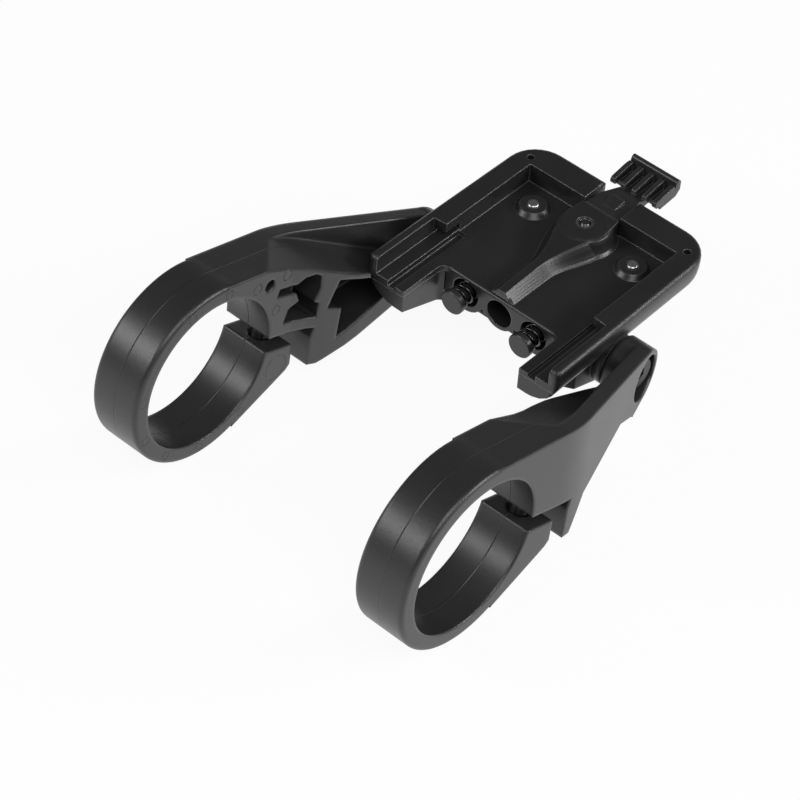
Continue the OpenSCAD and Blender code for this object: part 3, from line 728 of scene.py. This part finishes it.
class DISPLAYMOUNT_OT_metal(bpy.types.Operator):
    """Gives the screws, contacts and inserts their metals, and the board its lacquer"""

    bl_idname = "displaymount.metal"
    bl_label = "Metal parts"

    def execute(self, context):
        for name, colour, roughness, axis, nodes in METALS:
            wear(worked_metal(name, colour, roughness, axis), nodes)
        wear(board_lacquer(), ["contact_board"])
        return {"FINISHED"}


class DISPLAYMOUNT_OT_stage(bpy.types.Operator):
    """Lays the white floor, hangs the lamps and sets up the camera of the photograph"""

    bl_idname = "displaymount.stage"
    bl_label = "Studio"

    def execute(self, context):
        studio = context.scene.mount_studio
        self.floor()
        self.surround(context.scene, studio.sky)
        self.lamp("key lamp", studio.key, (0.35, -0.25, 0.62), 0.45, 0.45)
        self.lamp("side lamp", studio.side, (0.62, 0.4, 0.36), 0.5, 0.16)
        self.lamp("front lamp", studio.front, (-0.4, -0.58, 0.42), 0.5, 0.12)
        self.camera(context.scene)
        context.scene.view_settings.view_transform = "Standard"
        return {"FINISHED"}

    def floor(self):
        """A round white sheet under the object, whose near-white to the camera keeps a soft shadow."""
        board = Board("floor white")
        matt = board.add("ShaderNodeBsdfDiffuse", sockets={"Color": (0.86, 0.86, 0.86, 1), "Roughness": 0.5})
        glow = board.add("ShaderNodeEmission", sockets={"Color": (1, 1, 1, 1), "Strength": 1.0})
        path = board.add("ShaderNodeLightPath").socket.node.outputs
        seen = Wire(board, path["Is Camera Ray"]).most(Wire(board, path["Is Glossy Ray"]))
        seen = seen.most(Wire(board, path["Is Transmission Ray"]))
        mixed = board.add("ShaderNodeMixShader", sockets={0: seen * FLOOR_WHITE, 1: matt, 2: glow})
        board.add("ShaderNodeOutputMaterial", sockets={"Surface": mixed})
        turn = np.linspace(0, 2 * np.pi, FLOOR_SIDES, endpoint=False)
        rim = np.stack([np.cos(turn), np.sin(turn), np.zeros(FLOOR_SIDES)], axis=1)
        lowest = CAD_BOX[0][AXIS_Z] / MM
        top = FLOOR_RADIUS * rim + [0, OBJECT_MIDDLE_Y, lowest - FLOOR_GAP]
        sheet = surface_object("floor", np.stack([top - [0, 0, FLOOR_THICKNESS], top]), board.owner)

    def surround(self, scene, strength):
        """Even light from all round, white to the camera."""
        scene.world = bpy.data.worlds.new("studio surround")
        board = Board("studio surround", scene.world)
        seen = board.add("ShaderNodeLightPath", out="Is Camera Ray")
        level = board.add("ShaderNodeMix", sockets={"Factor": seen, "A": strength, "B": 1.0})
        light = board.add("ShaderNodeBackground", sockets={"Strength": level})
        board.add("ShaderNodeOutputWorld", sockets={"Surface": light})

    def lamp(self, name, power, place, width, height):
        """A soft box turned to the middle of the object. Its place from there and its size are in metres."""
        light = bpy.data.lights.new(name, "AREA")
        light.shape = "RECTANGLE"
        light.size, light.size_y, light.energy = width, height, power
        thing = bpy.data.objects.new(name, light)
        middle = Vector((0.0, OBJECT_MIDDLE_Y * MM, 0.0))
        thing.location = middle + Vector(place)
        thing.rotation_euler = (middle - thing.location).to_track_quat("-Z", "Y").to_euler()
        bpy.context.scene.collection.objects.link(thing)

    def camera(self, scene):
        """The photograph's camera: azimuth, elevation and roll in degrees, then its offset and distance."""
        azimuth, elevation, roll = radians(39.064), radians(45.279), radians(3.899)
        back = Vector((sin(azimuth) * cos(elevation), -cos(azimuth) * cos(elevation), sin(elevation)))
        level = Vector((cos(azimuth), sin(azimuth), 0.0))
        rise = back.cross(level)
        right = cos(roll) * level + sin(roll) * rise
        up = cos(roll) * rise - sin(roll) * level
        lens = bpy.data.cameras.new("photo camera")
        lens.sensor_width = SENSOR_WIDTH
        lens.lens = SENSOR_WIDTH * FOCAL_LENGTH / PHOTO_WIDTH
        lens.clip_start, lens.clip_end = 0.05, 20.0
        thing = bpy.data.objects.new("photo camera", lens)
        aside, above, away = 15.049, 8.656, 523.961
        location = (right * aside + up * above + back * away) * MM
        turn = Matrix((right, up, back)).transposed().to_4x4()
        thing.matrix_world = Matrix.Translation(location) @ turn
        scene.collection.objects.link(thing)
        scene.camera = thing


class DISPLAYMOUNT_PT_panel(bpy.types.Panel):
    """Buttons and sizes of the display mount"""

    bl_idname = "DISPLAYMOUNT_PT_panel"
    bl_label = "Display mount"
    bl_space_type = "VIEW_3D"
    bl_region_type = "UI"
    bl_category = "Display mount"

    def draw(self, context):
        for operator in OPERATORS:
            self.layout.operator(operator.bl_idname)
        for group in (context.scene.mount_plastic, context.scene.mount_springs, context.scene.mount_studio):
            box = self.layout.box()
            for key in group.__annotations__:
                box.prop(group, key)


GROUPS = {"mount_plastic": PlasticFinish, "mount_springs": SpringSizes, "mount_studio": Studio}
OPERATORS = [
    DISPLAYMOUNT_OT_arms,
    DISPLAYMOUNT_OT_tray,
    DISPLAYMOUNT_OT_lever,
    DISPLAYMOUNT_OT_plungers,
    DISPLAYMOUNT_OT_springs,
    DISPLAYMOUNT_OT_metal,
    DISPLAYMOUNT_OT_stage,
]


def register():
    for cls in (*GROUPS.values(), *OPERATORS, DISPLAYMOUNT_PT_panel):
        bpy.utils.register_class(cls)
    for name, group in GROUPS.items():
        setattr(bpy.types.Scene, name, PointerProperty(type=group))


def unregister():
    for name in GROUPS:
        delattr(bpy.types.Scene, name)
    for cls in (DISPLAYMOUNT_PT_panel, *reversed(OPERATORS), *reversed(GROUPS.values())):
        bpy.utils.unregister_class(cls)


def main():
    register()
    for operator in OPERATORS:
        group, name = operator.bl_idname.split(".")
        getattr(getattr(bpy.ops, group), name)()


if __name__ == "__main__":
    main()
